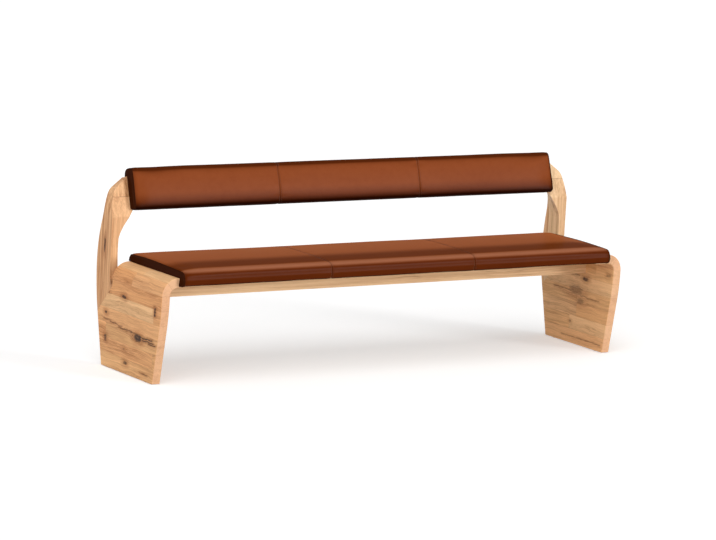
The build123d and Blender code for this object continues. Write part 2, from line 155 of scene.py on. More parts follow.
class BenchOakSettings(bpy.types.PropertyGroup):
    """Colours and boards of the solid oak."""

    light_wood: bpy.props.FloatVectorProperty(
        name="Light wood",
        description="Colour of the palest wood in the legs",
        subtype="COLOR",
        default=(0.9, 0.53, 0.25),
    )
    pale_wood: bpy.props.FloatVectorProperty(
        name="Pale wood",
        description="Colour of the palest wood in the arms and rails",
        subtype="COLOR",
        default=(0.92, 0.64, 0.37),
    )
    dark_wood: bpy.props.FloatVectorProperty(
        name="Dark wood",
        description="Colour of the darkest streaks in the boards",
        subtype="COLOR",
        default=(0.42, 0.185, 0.065),
    )
    knot_wood: bpy.props.FloatVectorProperty(
        name="Knot",
        description="Colour at the heart of a knot",
        subtype="COLOR",
        default=(0.035, 0.015, 0.007),
    )
    end_wood: bpy.props.FloatVectorProperty(
        name="End grain",
        description="Colour of the cut board ends",
        subtype="COLOR",
        default=(0.74, 0.43, 0.26),
    )
    stave_length: bpy.props.FloatProperty(
        name="Board length",
        description="Usual length of the boards that are butted within a stave",
        unit="LENGTH",
        default=0.85,
    )


class BenchLeatherSettings(bpy.types.PropertyGroup):
    """Colours and sewing of the leather."""

    hide_tone: bpy.props.FloatVectorProperty(
        name="Leather",
        description="Colour of the sitting and leaning faces",
        subtype="COLOR",
        default=(0.235, 0.056, 0.015),
    )
    deep_tone: bpy.props.FloatVectorProperty(
        name="Deep leather",
        description="Colour in the grain's valleys and the dye's darker clouds",
        subtype="COLOR",
        default=(0.19, 0.04, 0.009),
    )
    # Blended on the seat's top faces as painted light along with rubbed wear, and a little towards
    # the back's top
    rubbed_and_lit_tone: bpy.props.FloatVectorProperty(
        name="Rubbed leather",
        description="Colour where the dye is rubbed thin",
        subtype="COLOR",
        default=(0.42, 0.12, 0.036),
    )
    # A painted highlight along the seat's rounded front edge
    painted_highlight_tone: bpy.props.FloatVectorProperty(
        name="Worn edge",
        description="Colour along the seat's front edge, where legs wear the dye pale",
        subtype="COLOR",
        default=(0.42, 0.19, 0.11),
    )
    # Dark leather of the end panels and welts; on faces that face down the same tone is painted
    # shade
    end_panel_and_shade_tone: bpy.props.FloatVectorProperty(
        name="Side leather",
        description="Colour of the end and underside panels",
        subtype="COLOR",
        default=(0.034, 0.007, 0.0015),
    )
    thread_tone: bpy.props.FloatVectorProperty(
        name="Thread",
        description="Colour of the stitches",
        subtype="COLOR",
        default=(0.07, 0.022, 0.008),
    )
    stitch_spacing: bpy.props.FloatProperty(
        name="Stitch spacing",
        description="From one stitch to the next",
        unit="LENGTH",
        default=0.0052,
    )
    stitch_length: bpy.props.FloatProperty(
        name="Stitch length", description="Length of one stitch", unit="LENGTH", default=0.0038
    )
    thread_width: bpy.props.FloatProperty(
        name="Thread width", description="Thickness of the thread", unit="LENGTH", default=0.0011
    )
    stitch_offset: bpy.props.FloatProperty(
        name="Stitch offset",
        description="From the seam to each row of stitches",
        unit="LENGTH",
        default=0.0055,
    )
    welt_radius: bpy.props.FloatProperty(
        name="Welt radius",
        description="Radius of the piping round the end panels",
        unit="LENGTH",
        default=0.0018,
    )


class BenchPaddingSettings(bpy.types.PropertyGroup):
    """Shape of the seat and back padding."""

    seat_front_radius: bpy.props.FloatProperty(
        name="Seat front radius",
        description="Rounding of the seat's front edge",
        unit="LENGTH",
        default=0.03,
    )
    seat_rear_radius: bpy.props.FloatProperty(
        name="Seat rear radius",
        description="Rounding of the seat's rear edge",
        unit="LENGTH",
        default=0.019,
    )
    lip_radius: bpy.props.FloatProperty(
        name="Lip radius",
        description="Rounding at the bottom of the hanging lip",
        unit="LENGTH",
        default=0.02,
    )
    seat_crown: bpy.props.FloatProperty(
        name="Seat crown",
        description="Rise of the seat between its edges",
        unit="LENGTH",
        default=0.005,
    )
    back_front_radius: bpy.props.FloatProperty(
        name="Back top radius",
        description="Rounding of the back's upper front edge",
        unit="LENGTH",
        default=0.024,
    )
    back_roll_radius: bpy.props.FloatProperty(
        name="Roll radius",
        description="Rounding behind the roll over the arms",
        unit="LENGTH",
        default=0.018,
    )
    back_bottom_radius: bpy.props.FloatProperty(
        name="Back bottom radius",
        description="Rounding of the back's lower edge",
        unit="LENGTH",
        default=0.014,
    )
    back_crown: bpy.props.FloatProperty(
        name="Back crown",
        description="How far the back's face bows out",
        unit="LENGTH",
        default=0.003,
    )
    end_draw_in: bpy.props.FloatProperty(
        name="End draw-in",
        description="How far the padding pulls in at its ends",
        unit="LENGTH",
        default=0.009,
    )
    end_rounding: bpy.props.FloatProperty(
        name="End rounding",
        description="Length over which the ends pull in",
        unit="LENGTH",
        default=0.028,
    )
    lean: bpy.props.FloatProperty(
        name="Back lean",
        description="Lean of the back from upright",
        subtype="ANGLE",
        default=math.radians(17),
    )
    pressure: bpy.props.FloatProperty(
        name="Pressure",
        description="How hard the foam presses on the leather",
        default=4.0,
        min=0.0,
    )
    swell: bpy.props.FloatProperty(
        name="Swell",
        description="Most that the leather may rise off its pattern",
        unit="LENGTH",
        default=0.005,
    )


class BenchStageSettings(bpy.types.PropertyGroup):
    """Floor, lamps and camera."""

    focal_length: bpy.props.FloatProperty(
        name="Focal length", description="Focal length of the camera in millimetres", default=203.4
    )
    front_strength: bpy.props.FloatProperty(
        name="Front lamp", description="Strength of the low lamp in front on the right", default=1.5
    )
    top_strength: bpy.props.FloatProperty(
        name="Top lamp", description="Strength of the wide lamp overhead", default=1.15
    )
    side_strength: bpy.props.FloatProperty(
        name="Side lamp", description="Strength of the wide lamp on the left", default=1.15
    )
    room_strength: bpy.props.FloatProperty(
        name="Room light", description="Even light from all round", default=0.4
    )


# Materials


class Reading:
    """A socket in an expression: each operator adds the Math node that works it out."""

    def __init__(self, finish, socket):
        self.finish = finish
        self.socket = socket

    def maths(self, operation, *values):
        return self.finish.node("ShaderNodeMath", {"operation": operation}, dict(enumerate(values)))

    def __add__(self, other):
        return self.maths("ADD", self, other)

    def __radd__(self, other):
        return self.maths("ADD", other, self)

    def __sub__(self, other):
        return self.maths("SUBTRACT", self, other)

    def __rsub__(self, other):
        return self.maths("SUBTRACT", other, self)

    def __mul__(self, other):
        return self.maths("MULTIPLY", self, other)

    def __rmul__(self, other):
        return self.maths("MULTIPLY", other, self)

    def __truediv__(self, other):
        return self.maths("DIVIDE", self, other)

    def __pow__(self, other):
        return self.maths("POWER", self, other)

    def __mod__(self, other):
        return self.maths("FLOORED_MODULO", self, other)

    def __abs__(self):
        return self.maths("ABSOLUTE", self)

    def whole(self):
        return self.maths("FLOOR", self)

    def least(self, other):
        return self.maths("MINIMUM", self, other)

    def most(self, other):
        return self.maths("MAXIMUM", self, other)

    def eased(self, start, end):
        """0 at start and before it, 1 at end and past it; start may be the larger."""
        sockets = {0: self, 1: start, 2: end, 3: 0.0, 4: 1.0}
        settings = {"interpolation_type": "SMOOTHSTEP", "clamp": True}
        return self.finish.node("ShaderNodeMapRange", settings, sockets)


class Finish:
    """A material in the making: it adds nodes, feeds their sockets and hands on readings."""

    def __init__(self, name, store=None):
        self.holder = (bpy.data.materials if store is None else store).new(name)
        self.holder.use_nodes = True
        self.tree = self.holder.node_tree
        self.tree.nodes.clear()

    def node(self, kind, settings=(), sockets=(), output=0):
        made = self.tree.nodes.new(kind)
        for name, setting in dict(settings).items():
            setattr(made, name, setting)
        for key, given in dict(sockets).items():
            if isinstance(given, Reading):
                self.tree.links.new(given.socket, made.inputs[key])
            else:
                made.inputs[key].default_value = given
        return Reading(self, made.outputs[output]) if made.outputs else None

    def place(self):
        """Object coordinates, whole and split into x, y and z."""
        whole = self.node("ShaderNodeTexCoord", output=3)
        return whole, self.split(whole)

    def split(self, vector):
        separate = self.node("ShaderNodeSeparateXYZ", sockets={0: vector})
        outputs = separate.socket.node.outputs
        return tuple(Reading(self, outputs[axis]) for axis in range(3))

    def facing(self):
        """The surface's own direction, split into x, y and z."""
        return self.split(self.node("ShaderNodeNewGeometry", output=1))

    def joined(self, x, y, z):
        return self.node("ShaderNodeCombineXYZ", sockets={0: x, 1: y, 2: z})

    def cloud(self, vector, scale, detail=2.0, rough=0.5, bent=0.0):
        """Soft noise from 0 to 1 at so many waves to the metre."""
        sockets = {"Vector": vector, "Scale": scale, "Detail": detail}
        sockets.update({"Roughness": rough, "Distortion": bent})
        return self.node("ShaderNodeTexNoise", sockets=sockets)

    def edges(self, vector, scale):
        """Distance from the edges of a mesh of cells."""
        settings = {"feature": "DISTANCE_TO_EDGE"}
        return self.node("ShaderNodeTexVoronoi", settings, {"Vector": vector, "Scale": scale})

    def chance(self, vector):
        """An even random number for each whole-numbered place."""
        return self.node("ShaderNodeTexWhiteNoise", sockets={0: vector})

    def blend(self, first, second, share, way="MIX"):
        """Mix two colours."""
        settings = {"data_type": "RGBA", "blend_type": way, "clamp_factor": True}
        sockets = {0: share, 6: full(first), 7: full(second)}
        return self.node("ShaderNodeMix", settings, sockets, output=2)

    def tinted(self, colour, tint, share):
        """Multiply a colour by a tint."""
        return self.blend(colour, tint, share, "MULTIPLY")

    def raised(self, height, strength, distance, under=None):
        """Relief from a height reading, on top of what lies under it."""
        sockets = {"Strength": strength, "Distance": distance, "Height": height}
        if under is not None:
            sockets["Normal"] = under
        return self.node("ShaderNodeBump", sockets=sockets)

    def close(self, **sockets):
        """End the material in a Principled shader with these sockets."""
        named = {}
        for name, value in sockets.items():
            named[name.replace("_", " ").title().replace("Ior", "IOR")] = value
        shader = self.node("ShaderNodeBsdfPrincipled", sockets=named)
        self.node("ShaderNodeOutputMaterial", sockets={0: shader})
        return self.holder


def full(colour):
    """A colour of three numbers with its alpha; a reading stays as it is."""
    return colour if isinstance(colour, Reading) else (*colour[:3], 1.0)


# Tints and tones of the oak's boards, pores and marks
reddish_board = (1.0, 0.82, 0.72)
greyish_board = (0.84, 0.79, 0.73)
golden_board = (0.93, 0.67, 0.4)
pore_tint = (0.45, 0.33, 0.25)
vein_tint = (0.42, 0.28, 0.18)
halo_tint = (0.58, 0.4, 0.27)
glue_tint = (0.4, 0.25, 0.16)

# Half the width of the glue line between staves, and of the one where boards butt
stave_glue = 0.0007
butt_glue = 0.0005

# From one growth ring to the next
ring_spacing = 0.0058

# Tints and tones of the leather: painted shade for the dark bands, the black edges, the ends and
# seams and the seams' folds, and the thread's twist
painted_shade_tint = (0.43, 0.31, 0.11)
painted_black_tint = (0.1, 0.08, 0.08)
shaded_tint = (0.6, 0.5, 0.4)
seam_shade_tone = (0.03, 0.01, 0.005)
twist_tone = (0.2, 0.07, 0.03)

# Tones of the plywood, how many of its layers make a metre, and tones of the hardware and felt
ply_tone = (0.68, 0.5, 0.31)
ply_streak_tone = (0.5, 0.33, 0.18)
ply_fleck_tint = (0.5, 0.42, 0.36)
ply_layer_tone = (0.34, 0.19, 0.09)
ply_layers = 667
zinc_tone = (0.66, 0.66, 0.64)
zinc_shade = (0.5, 0.51, 0.52)
beech_tone = (0.66, 0.44, 0.27)
beech_fleck_tone = (0.48, 0.28, 0.15)
felt_tone = (0.2, 0.17, 0.14)
felt_fibre_tone = (0.07, 0.06, 0.05)
felt_matted_tone = (0.26, 0.23, 0.2)

# Knots and dark streaks on each side's leg and arm: the place along the grain and across it
# (up the unrolled slab, or to the rear on an arm), how far the mark runs each way along the
# grain and across it, its radius and its darkness
leg_marks = {
    -1: (
        (-0.08, 0.174, 0.01, 0.002, 0.0175, 1.0),
        (-0.15, 0.183, 0.05, 0.0, 0.0045, 1.0),
        (-0.165, 0.172, 0.045, 0.0, 0.0042, 1.0),
        (-0.2, 0.165, 0.03, 0.0, 0.003, 0.9),
        (-0.05, 0.188, 0.03, 0.0, 0.003, 0.7),
        (0.02, 0.192, 0.05, 0.0, 0.0035, 0.75),
        (0.11, 0.2, 0.05, 0.0, 0.0035, 0.7),
        (0.19, 0.206, 0.03, 0.0, 0.003, 0.6),
        (0.053, 0.331, 0.006, 0.0, 0.01, 1.0),
        (0.185, 0.326, 0.0, 0.0, 0.007, 0.7),
        (0.203, 0.234, 0.0, 0.0, 0.009, 0.95),
        (-0.216, 0.312, 0.0, 0.016, 0.006, 1.0),
        (0.2, 0.125, 0.002, 0.01, 0.007, 0.8),
        (0.019, 0.049, 0.004, 0.0, 0.01, 0.95),
        (-0.14, 0.03, 0.03, 0.0, 0.003, 0.6),
    ),
    1: (
        (-0.0586, 0.311, 0.006, 0.0, 0.012, 1.0),
        (0.02, 0.323, 0.03, 0.0, 0.003, 0.75),
        (-0.2325, 0.356, 0.01, 0.0, 0.006, 0.6),
        (0.01, 0.25, 0.016, 0.0, 0.028, 0.5),
        (-0.03, 0.205, 0.004, 0.0, 0.018, 0.45),
        (0.04, 0.1, 0.0, 0.0, 0.006, 0.6),
        (0.1, 0.243, 0.08, 0.0, 0.003, 0.55),
        (-0.1, 0.228, 0.07, 0.0, 0.003, 0.45),
        (-0.05, 0.03, 0.15, 0.0, 0.003, 0.5),
    ),
}
arm_marks = {
    -1: (
        (0.315, 0.264, 0.0096, 0.0, 0.0085, 1.0),
        (0.234, 0.192, 0.0072, 0.0, 0.008, 0.6),
        (0.19, 0.205, 0.0, 0.0, 0.0065, 0.5),
    ),
    1: ((0.372, 0.24, 0.006, 0.0, 0.005, 0.5),),
}


def oak_finish(finish, oak, board, grain, side=0, marks=(), end_share=1.0):
    """Solid oak: butted boards with growth rings, streaks, pores, knots and end grain.

    A board is its length, its width and its palest colour. The grain is the place along it,
    across it and into the board, and how far the surface faces along it.
    """
    length, width, light = board
    along, across, depth, facing_along = grain
    stave = (across / width).whole()
    shift = finish.chance(finish.joined(stave, side * 7, 3.0))
    butt = (along + 2 + shift * length) / length
    number = butt.whole()
    tone = finish.chance(finish.joined(stave, number, side * 5))
    warmth = finish.chance(finish.joined(number + 11, stave * 3, side * 9))
    cut = finish.chance(finish.joined(stave * 5, number + 23, side * 2))

    def drawn(place, detail, rough, bent=0.0):
        """Soft noise at a place whose three numbers already carry their scales."""
        return finish.cloud(finish.joined(*place), 1.0, detail, rough, bent)

    # Marks with ragged outlines; the grain swings round them
    ragged = drawn((along * 55, across * 110, side * 3), 3.0, 0.65) - 0.5
    wavy = drawn((along * 7, across * 9, side * 4), 2.0, 0.5) - 0.5
    curl = drawn((along * 26, across * 34, side * 6), 2.0, 0.6) - 0.5
    heart = halo = depth * 0.0
    swing = wavy * 0.03 + curl * 0.004
    wandering = across + wavy * 0.014 + curl * 0.014
    for mark_along, mark_across, run_along, run_across, radius, dark in marks:
        off = wandering - mark_across
        beyond = (abs(along - mark_along) - run_along).most(0.0) / 1.6
        aside = (abs(off) - run_across).most(0.0)
        distance = (beyond * beyond + aside * aside) ** 0.5 + ragged * (0.002 + radius * 0.9)
        near = distance.eased(radius * 2.4 + 0.005, radius * 0.8) * dark
        heart = heart.most(distance.eased(radius, radius * 0.35) * dark)
        halo = halo.most(near)
        swing = swing + near * off / (abs(off) + 0.005) * (radius * 0.9)

    # Small knots scattered through the rest
    scatter = finish.joined(along * 4.2 + tone * 9, across * 7.5, depth * 3)
    spot, cell = (
        finish.node("ShaderNodeTexVoronoi", (), {"Vector": scatter, "Scale": 1.0}, output)
        for output in range(2)
    )
    small = spot - finish.split(cell)[0].eased(0.7, 1.0) * 0.07 + ragged * 0.05
    heart = heart.most(small.eased(0.012, -0.03) * 0.6)
    halo = halo.most(small.eased(0.16, 0.0) * 0.45)

    # Growth rings round a heart that lies somewhere beside each board
    bent = across - swing
    ring_across = bent - (tone - 0.5) * 0.09 - along * (cut - 0.5) * 0.16
    ring_depth = depth + 0.012 + cut * 0.06 + wavy * 0.01
    ring_distance = (ring_across * ring_across + ring_depth * ring_depth) ** 0.5
    ring_edge = (ring_distance / ring_spacing % 1.0) ** 2.2

    # Bands, streaks, fine lines and pores drawn out along the grain
    bands = drawn((along * 1.1, bent * 17 + tone * 55, depth * 17), 2.0, 0.5, 0.4)
    streaks = drawn((along * 3.4, bent * 52 + tone * 90, depth * 52), 4.0, 0.65, 0.9)
    lines = drawn((along * 7, bent * 230 + tone * 70, depth * 230), 3.0, 0.6, 0.2)
    pores = drawn((along * 90, across * 1500, depth * 1500), 1.0, 0.5)
    pore = pores.eased(0.6, 0.74) * (0.35 + ring_edge * 0.65)

    figure = streaks.eased(0.36, 0.66) * 0.42 + bands.eased(0.4, 0.62) * 0.26
    figure = (figure + lines.eased(0.4, 0.64) * 0.28 + ring_edge * 0.18).least(1.0)
    colour = finish.blend(light, oak.dark_wood, figure * (0.66 + cut * 0.38))
    colour = finish.tinted(colour, reddish_board, warmth.eased(0.3, 1.0) * 0.75)
    colour = finish.tinted(colour, greyish_board, tone.eased(0.3, 1.0) * 0.6)
    colour = finish.blend(colour, golden_board, tone.eased(0.4, 0.0) * 0.2)
    colour = finish.tinted(colour, pore_tint, pore * 0.5)
    vein = drawn((along * 6, bent * 80 + tone * 60, depth * 80), 2.0, 0.6, 0.9)
    veined = abs(vein - 0.5).eased(0.03, 0.006)
    veined = veined * (bands.eased(0.45, 0.65) * 0.45 + halo * 0.6).least(1.0)
    colour = finish.tinted(colour, vein_tint, veined * 0.85)

    # Cut ends, then knots, then the fine glue lines
    end_grain = abs(facing_along).eased(0.75, 0.93) * end_share
    end_figure = ring_edge * 0.35 + streaks.eased(0.4, 0.8) * 0.2
    end_colour = finish.blend(oak.end_wood, oak.dark_wood, end_figure)
    colour = finish.blend(colour, end_colour, end_grain * 0.7)
    colour = finish.tinted(colour, halo_tint, halo * 0.62)
    colour = finish.blend(colour, oak.knot_wood, heart * (0.75 + lines.eased(0.4, 0.6) * 0.25))
    stave_joint = abs(across / width % 1.0 - 0.5).eased(0.5 - stave_glue / width, 0.5)
    butt_joint = abs(butt % 1.0 - 0.5).eased(0.5 - butt_glue / length, 0.5)
    joint = stave_joint.most(butt_joint)
    colour = finish.tinted(colour, glue_tint, joint * 0.6)

    roughness = 0.48 + streaks * 0.14 + pore * 0.2
    relief = 0.5 - pore * 0.35 - joint * 0.4 - ring_edge * 0.12 - heart * 0.2
    bump = finish.raised(relief, 0.35, 0.0004)
    return finish.close(
        base_color=colour, roughness=roughness, normal=bump, specular_ior_level=0.25
    )


def leg_oak(oak, side):
    """Oak of one leg, whose boards run from front to rear and follow the bent corner."""
    finish = Finish("oak_right_leg" if side > 0 else "oak_left_leg")
    _, (x, y, z) = finish.place()
    bend_across = abs(x) - corner_low.x
    bend_up = z - corner_low.z
    outward = bend_across.most(0.0)
    upward = bend_up.most(0.0)
    radius = corner_high.z - corner_low.z
    turn = upward.maths("ARCTAN2", upward, outward)
    unrolled = corner_low.z + bend_up.least(0.0) + turn * radius + (0.0 - bend_across).most(0.0)
    depth = radius - (outward * outward + upward * upward) ** 0.5
    facing = finish.facing()
    board = (oak.stave_length, stave_width, oak.light_wood)
    grain = (y, unrolled - slab_low.z, depth, facing[1])
    return oak_finish(finish, oak, board, grain, side, leg_marks[side])


def arm_oak(oak, side):
    """Oak of one arm, whose boards stand upright."""
    finish = Finish("oak_right_arm" if side > 0 else "oak_left_arm")
    _, (x, y, z) = finish.place()
    facing = finish.facing()
    board = (unbroken, arm_board_width, oak.pale_wood)
    grain = (z * 0.6, y + 0.021, abs(x), facing[2])
    return oak_finish(finish, oak, board, grain, side, arm_marks[side], 0.6)


def rail_oak(oak):
    """Oak of the rails and the nose batten, with the grain along the bench."""
    finish = Finish("oak_rails")
    _, (x, y, z) = finish.place()
    facing = finish.facing()
    board = (unbroken, rail_board_width, oak.pale_wood)
    grain = (x * 0.3, z + 0.067, y, facing[0])
    return oak_finish(finish, oak, board, grain, 2)


def batten_oak(oak):
    """Oak of the battens across the rails."""
    finish = Finish("oak_battens")
    _, (x, y, z) = finish.place()
    facing = finish.facing()
    board = (unbroken, batten_board_width, oak.pale_wood)
    grain = (y * 0.6, x, z, facing[1])
    return oak_finish(finish, oak, board, grain)


def leather_finish(name, leather, seams=(), end_place=9.0, painted_light=None):
    """Semi-aniline leather: pebbled grain, clouded dye, dark end panels, and painted shade at the
    seams, near the ends and on faces that face down.
    """
    finish = Finish(name)
    place, (x, y, z) = finish.place()
    facing = finish.facing()
    seam_distance = x * 0.0 + 9.0
    for seam in seams:
        seam_distance = seam_distance.least(abs(x - seam))
    clouds = finish.cloud(place, 3.2, 3.0, 0.55, 0.4)
    mottle = finish.cloud(place, 34.0, 4.0, 0.6)
    valley = finish.edges(place, 620.0).eased(0.16, 0.0)
    crease = finish.edges(place, 95.0).eased(0.05, 0.0) * mottle.eased(0.45, 0.7)
    dye = clouds.eased(0.3, 0.7) * 0.3 + mottle.eased(0.35, 0.75) * 0.2
    dye = (dye + valley * 0.28 + crease * 0.25).least(1.0)
    colour = finish.blend(leather.hide_tone, leather.deep_tone, dye)
    # Painted light and shade of each pad: a lighter top, painted shade bands, painted black and a
    # painted highlight
    if painted_light:
        rubbed_and_lit, painted_shade, painted_black, painted_highlight = painted_light(facing, y, z)
        colour = finish.blend(colour, leather.rubbed_and_lit_tone, rubbed_and_lit * (0.6 + clouds * 0.5))
        colour = finish.tinted(colour, painted_shade_tint, painted_shade)
        # Painted black shade at the back's lower edge and on its top
        colour = finish.tinted(colour, painted_black_tint, painted_black)
        # Painted highlight along the seat's front edge
        colour = finish.blend(colour, leather.painted_highlight_tone, painted_highlight * 0.4)
    # Painted shade near the pad's ends and beside its seams
    near_end = abs(x).eased(end_place - 0.02, end_place)
    shaded = near_end * 0.5 + seam_distance.eased(0.012, 0.001) * 0.25
    colour = finish.tinted(colour, shaded_tint, shaded)
    # Painted shade in the fold along each seam, which the bump also sinks
    fold = seam_distance.eased(0.0014, 0.0003)
    colour = finish.blend(colour, seam_shade_tone, fold * 0.8)
    # End panels in dark leather, and the same tone painted as shade on faces that face down
    panel = abs(x).eased(end_place - 0.0006, end_place + 0.0006)
    panel = panel.most(facing[2].eased(-0.6, -0.8))
    colour = finish.blend(colour, leather.end_panel_and_shade_tone, panel)
    roughness = 0.42 + valley * 0.16 + mottle * 0.1 + crease * 0.1
    relief = 0.6 - valley * 0.5 - crease * 0.55 - fold * 1.2 + mottle * 0.25
    bump = finish.raised(relief, 0.25, 0.0004)
    return finish.close(
        base_color=colour,
        roughness=roughness,
        normal=bump,
        specular_ior_level=0.0,
        coat_weight=0.05,
        coat_roughness=0.3,
    )


def seat_painted_light(facing, y, z):
    """A lighter top, painted light with rubbed wear; painted shade before and below the front edge;
    and a painted highlight along it.
    """
    edge_top = seat_high.z - 0.006
    front = seat_low.y
    turned = (0 - facing[1]).eased(0.04, 0.4)
    top = facing[2].eased(0.35, 0.95) * (1 - turned)
    # Painted shade in a band on the top before the front edge, and down the front below it
    before = y.eased(front + 0.22, front + 0.12) * y.eased(front + 0.025, front + 0.06)
    below = turned * z.eased(edge_top + 0.002, edge_top - 0.014)
    # The top faces painted lighter, as light from above, with rubbed wear growing towards the rear
    rubbed_and_lit = top * (0.55 + y.eased(front + 0.12, seat_high.y) * 0.45)
    # Painted highlight along the top of the rounded front edge
    painted_highlight = y.eased(front + 0.055, front + 0.02) * z.eased(edge_top - 0.012, edge_top + 0.001)
    return rubbed_and_lit, (before * (1 - turned) * 0.95).most(below), z * 0.0, painted_highlight


def back_painted_light(facing, _, z):
    """Painted shade along the back's top, and towards its lower edge until it is black; a little
    lighter towards the top.
    """
    # Painted shade on the top faces, and darkening towards the lower edge down to painted black
    top = facing[2].eased(0.33, 0.55)
    lower = z.eased(back_low.z + 0.085, back_low.z + 0.022)
    black = z.eased(back_low.z + 0.046, back_low.z + 0.012)
    # A little lighter towards the top
    rubbed_and_lit = z.eased(back_low.z + 0.05, back_high.z) * 0.06
    return rubbed_and_lit, (top * 0.98).most(lower), (black * (1 - top)).most(top * 0.3), z * 0.0


def ply_finish():
    """Birch plywood: pale faces and banded edges."""
    finish = Finish("birch_ply")
    _, (x, y, z) = finish.place()
    grain = finish.cloud(finish.joined(x * 2.0, y * 60, z * 60), 1.0, 4.0, 0.6, 0.3)
    flecks = finish.cloud(finish.joined(x * 30, y * 500, z * 500), 1.0, 2.0, 0.5)
    layer = (z * ply_layers) % 2.0
    band = layer.eased(0.9, 1.1)
    edge = abs(finish.facing()[2]).eased(0.7, 0.3)
    colour = finish.blend(ply_tone, ply_streak_tone, grain.eased(0.35, 0.7) * 0.6)
    colour = finish.tinted(colour, ply_fleck_tint, flecks.eased(0.6, 0.75) * 0.4)
    colour = finish.blend(colour, ply_layer_tone, band * edge * 0.75)
    bump = finish.raised(grain + flecks * 0.4, 0.25, 0.0004)
    return finish.close(base_color=colour, roughness=0.62 + grain * 0.12, normal=bump)


def zinc_finish():
    """Zinc-plated steel with a faint spangle and fine brushing."""
    finish = Finish("zinc_plate")
    place, (x, y, z) = finish.place()
    spangle = finish.cloud(place, 60.0, 3.0, 0.5, 0.6)
    brushed = finish.cloud(finish.joined(x * 60, y * 60, z * 2400), 1.0, 2.0, 0.5)
    colour = finish.blend(zinc_tone, zinc_shade, spangle.eased(0.35, 0.65))
    roughness = 0.27 + spangle * 0.16 + brushed * 0.1
    bump = finish.raised(brushed, 0.12, 0.0001)
    return finish.close(base_color=colour, metallic=1.0, roughness=roughness, normal=bump)


def beech_finish():
    """Raw beech of the dowels."""
    finish = Finish("beech_dowels")
    _, (x, y, z) = finish.place()
    flecks = finish.cloud(finish.joined(x * 400, y * 400, z * 90), 1.0, 3.0, 0.5)
    colour = finish.blend(beech_tone, beech_fleck_tone, flecks.eased(0.4, 0.7) * 0.6)
    return finish.close(base_color=colour, roughness=0.6, normal=finish.raised(flecks, 0.2, 0.0003))


def felt_finish():
    """Pressed felt: matted grey-brown fibres."""
    finish = Finish("pressed_felt")
    place, _ = finish.place()
    fibres = finish.cloud(place, 1400.0, 4.0, 0.7, 1.2)
    matting = finish.cloud(place, 160.0, 3.0, 0.6)
    colour = finish.blend(felt_tone, felt_fibre_tone, fibres.eased(0.35, 0.7))
    colour = finish.blend(colour, felt_matted_tone, matting * 0.3)
    bump = finish.raised(fibres, 0.7, 0.0006)
    return finish.close(base_color=colour, roughness=0.95, normal=bump, sheen_weight=0.25)


def thread_finish(leather):
    """Bonded sewing thread with its twist."""
    finish = Finish("sewing_thread")
    _, (x, y, z) = finish.place()
    twist = ((x * 2.2 + y + z) * 900) % 1.0
    ply = abs(twist - 0.5).eased(0.5, 0.1)
    colour = finish.blend(leather.thread_tone, twist_tone, ply * 0.5)
    return finish.close(base_color=colour, roughness=0.5, normal=finish.raised(ply, 0.3, 0.0002))


def dress(node, material):
    """Give a node of the frame its finish."""
    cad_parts[node].material_slots[0].material = material


# Shapes


def seat_line(padding, draw):
    """Outer line of the seat's section, from under the lip, up the front and over the top."""
    front = seat_low.y + draw
    rear = seat_high.y - draw
    top = seat_high.z - padding.seat_crown - draw
    under = seat_low.z
    lip, nose, tail = padding.lip_radius, padding.seat_front_radius, padding.seat_rear_radius
    return run_on(
        straight((board_low.y, under), (front + lip, under), 3),
        bend((front + lip, under + lip), lip, -90, -180, 4),
        bowed((front, under + lip), (front, top - nose), 0.002, 5),
        bend((front + nose, top - nose), nose, 180, 90, 7),
        bowed((front + nose, top), (rear - tail, top), padding.seat_crown, 46),
        bend((rear - tail, top - tail), tail, 90, 0, 5),
        straight((rear, top - tail), (rear, board_low.z), 2),
    )


def back_line(padding, draw):
    """Outer line of the back's section, measured square to its lean and up along it."""
    front = back_front_depth + draw
    rear = back_rear_depth - draw
    top = back_rise - draw
    foot, brow = padding.back_bottom_radius, padding.back_front_radius
    roll = padding.back_roll_radius
    return run_on(
        straight((0.0, draw), (front + foot, draw), 2),
        bend((front + foot, draw + foot), foot, -90, -180, 5),
        bowed((front, draw + foot), (front, top - brow), padding.back_crown, 15),
        bend((front + brow, top - brow), brow, 180, 90, 7),
        straight((front + brow, top), (rear - roll, top), 3),
        bend((rear - roll, top - roll), roll, 90, 0, 6),
        straight((rear, top - roll), (rear, back_open_rise), 3),
    )


def stations_along(half, inner_half, rounding, seams):
    """Places along a pad, close together at its ends and its seams."""
    places = set()
    for share in (0.0, 0.03, 0.1, 0.22, 0.4, 0.65, 1.0):
        places.add(round(half - share * rounding, 5))
    for seam in seams:
        if seam > 0:
            for offset in (0.0, 0.003, 0.006, 0.01, 0.016, 0.024):
                places.update((round(seam - offset, 5), round(seam + offset, 5)))
    for number in range(int(half / ring_step)):
        place = number * ring_step
        nearest = min(abs(place - other) for other in places)
        if nearest > 0.55 * ring_step and place < half - rounding:
            places.add(round(place, 5))
    places.add(round(inner_half, 5))
    return sorted({-place for place in places} | places)


